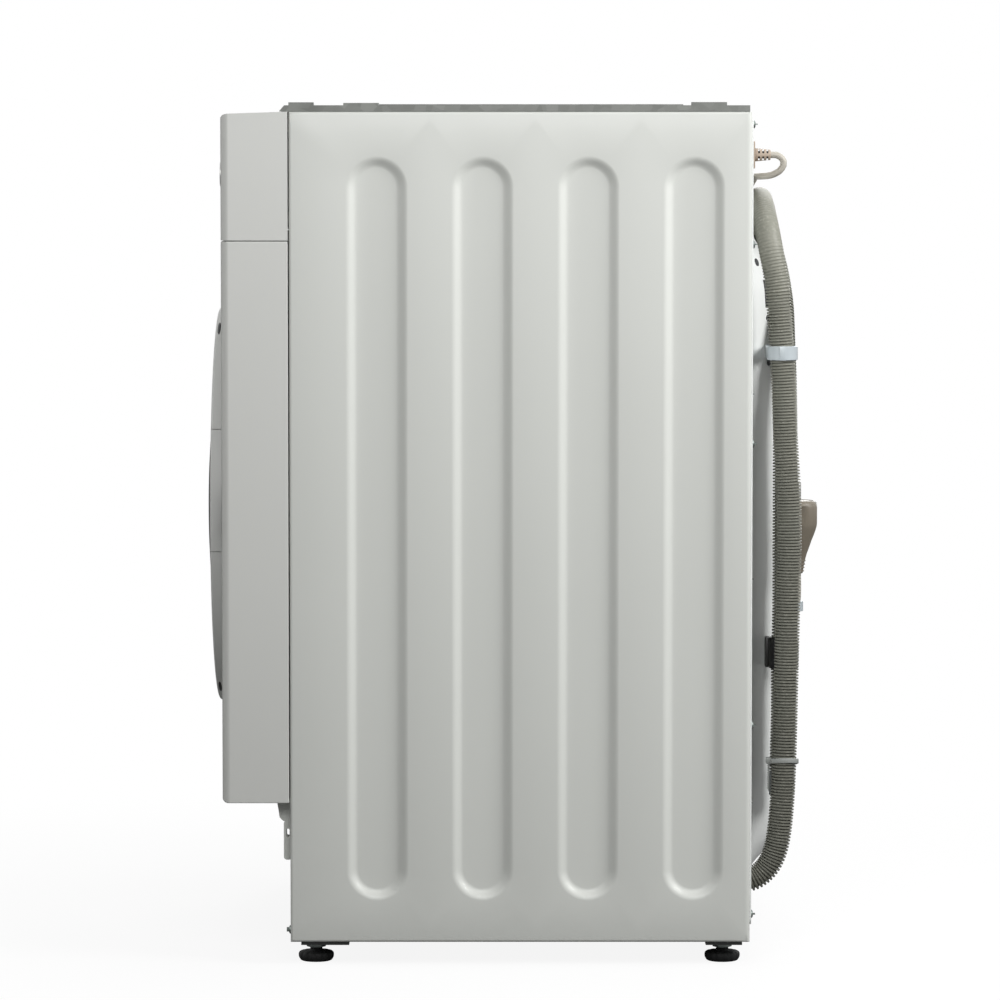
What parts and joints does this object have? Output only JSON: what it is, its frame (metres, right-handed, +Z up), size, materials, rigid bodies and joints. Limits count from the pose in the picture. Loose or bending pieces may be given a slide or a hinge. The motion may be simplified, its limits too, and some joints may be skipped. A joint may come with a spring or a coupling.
{
  "type": "integrated washing machine",
  "caption": "Built-in front-loading washing machine: ribbed steel cabinet, forward front mouldings with round door, sprung tub with belt drive, and a clipped ribbed hose at the rear.",
  "frame": {"origin": "on the floor, under the middle of the machine's overall width and depth", "axes": "+Z up, front with the door faces -Y, +X to the right as seen from the front"},
  "size_m": [0.595, 0.61, 0.825],
  "materials": {
    "white_paint": "satin powder coat",
    "white_rear": "gloss paint",
    "white_plastic": "satin moulding",
    "galvanised": "galvanised sheet",
    "dark_steel": "dark coated steel",
    "bare_steel": "plain",
    "zinc": "zinc plated",
    "stainless": "polished",
    "cast_aluminium": "as cast",
    "tub_plastic": "filled plastic",
    "dark_plastic": "matt",
    "smoked_plastic": "gloss",
    "blue_plastic": "gloss",
    "glass": "clear",
    "grey_rubber": "soft",
    "black_rubber": "soft",
    "hose_plastic": "ribbed",
    "clip_plastic": "satin",
    "lead_plastic": "satin",
    "plug_plastic": "satin",
    "board_green": "solder mask",
    "concrete": "rough cast concrete"
  },
  "bodies": {
    "cabinet": {"side_panel_right": "white_paint", "side_panel_left": "white_paint", "rear_panel": "white_rear", "rear_cover": "white_rear", "top_cover": "galvanised", "front_frame": "white_paint", "base_rails": "dark_steel", "front_panel": "white_plastic", "control_panel": "white_plastic", "display_window": "smoked_plastic", "drawer_housing": "tub_plastic", "inlet_valve": "clip_plastic", "fill_hose": "black_rubber", "dispenser_hose": "black_rubber", "suspension_springs": "bare_steel", "damper_cylinders": "dark_steel", "door_gasket": "grey_rubber", "gasket_clamp": "bare_steel", "hinge_bracket": "zinc", "door_lock": "dark_plastic", "drain_pump": "clip_plastic", "sump_hose": "black_rubber", "drain_hose": "hose_plastic", "rear_clips": "clip_plastic", "cord_strain_relief": "lead_plastic", "power_cord": "lead_plastic", "power_plug": "plug_plastic", "levelling_feet": "black_rubber", "foot_locknuts": "zinc", "control_board": "board_green", "screws": "zinc"},
    "tub": {"tub_front": "tub_plastic", "tub_rear": "tub_plastic", "drum_bearings": "bare_steel", "shaft_seal": "black_rubber", "drive_belt": "black_rubber", "motor": "dark_steel", "top_counterweight": "concrete", "front_counterweight": "concrete", "damper_rods": "bare_steel", "heater": "stainless"},
    "drum": {"drum": "stainless", "drum_lifters": "white_plastic", "drum_spider": "cast_aluminium", "drum_pulley": "cast_aluminium"},
    "motor_rotor": {"motor_pulley": "bare_steel"},
    "door": {"door_outer_ring": "white_plastic", "door_window": "smoked_plastic", "door_inner_ring": "white_plastic", "door_glass": "glass", "hinge_arm": "zinc"},
    "handle": {"door_handle": "white_plastic"},
    "drawer": {"detergent_drawer": "white_plastic", "drawer_siphon": "blue_plastic"},
    "knob": {"programme_knob": "white_plastic"},
    "start": {"start_button": "bare_steel"},
    "option_1": {"option_button_1": "white_plastic"},
    "option_2": {"option_button_2": "white_plastic"},
    "option_3": {"option_button_3": "white_plastic"},
    "filter": {"pump_filter": "blue_plastic"}
  },
  "joints": [
    {"name": "tub_suspension", "type": "slide", "parent": "cabinet", "child": "tub", "axis": [0, 0, 1], "range_m": [-0.01, 0.008], "stiffness_N_per_m": 16000, "springref_m": 0.0247, "deforming": ["suspension_springs", "dispenser_hose", "sump_hose", "door_gasket"]},
    {"name": "drum_spin", "type": "hinge", "parent": "tub", "child": "drum", "pos_m": [0, 0, 0.423], "axis": [0, 1, 0], "continuous": true},
    {"name": "motor_spin", "type": "hinge", "parent": "tub", "child": "motor_rotor", "pos_m": [-0.07, 0.239, 0.114], "axis": [0, 1, 0], "continuous": true},
    {"name": "door_swing", "type": "hinge", "parent": "cabinet", "child": "door", "pos_m": [-0.205, -0.286, 0.423], "axis": [0, 0, -1], "range_deg": [0, 110]},
    {"name": "handle_pull", "type": "hinge", "parent": "door", "child": "handle", "pos_m": [0.165, -0.2944, 0.4485], "axis": [0, 0, -1], "range_deg": [0, 12], "stiffness_Nm_per_rad": 1.5, "springref_deg": -8.59},
    {"name": "drawer_slide", "type": "slide", "parent": "cabinet", "child": "drawer", "axis": [0, -1, 0], "range_m": [0, 0.17]},
    {"name": "knob_turn", "type": "hinge", "parent": "cabinet", "child": "knob", "pos_m": [-0.012, -0.278, 0.7565], "axis": [0, 1, 0], "continuous": true},
    {"name": "start_press", "type": "slide", "parent": "cabinet", "child": "start", "axis": [0, 1, 0], "range_m": [0, 0.0015], "stiffness_N_per_m": 1500, "springref_m": -0.001},
    {"name": "option_1_press", "type": "slide", "parent": "cabinet", "child": "option_1", "axis": [0, 1, 0], "range_m": [0, 0.0015], "stiffness_N_per_m": 1500, "springref_m": -0.001},
    {"name": "option_2_press", "type": "slide", "parent": "cabinet", "child": "option_2", "axis": [0, 1, 0], "range_m": [0, 0.0015], "stiffness_N_per_m": 1500, "springref_m": -0.001},
    {"name": "option_3_press", "type": "slide", "parent": "cabinet", "child": "option_3", "axis": [0, 1, 0], "range_m": [0, 0.0015], "stiffness_N_per_m": 1500, "springref_m": -0.001},
    {"name": "filter_turn", "type": "hinge", "parent": "cabinet", "child": "filter", "pos_m": [0.16, -0.21, 0.095], "axis": [0, 1, 0], "range_deg": [0, 90]}
  ],
  "couplings": [
    {"joint": "motor_spin", "follows": "drum_spin", "ratio": 14.5}
  ]
}
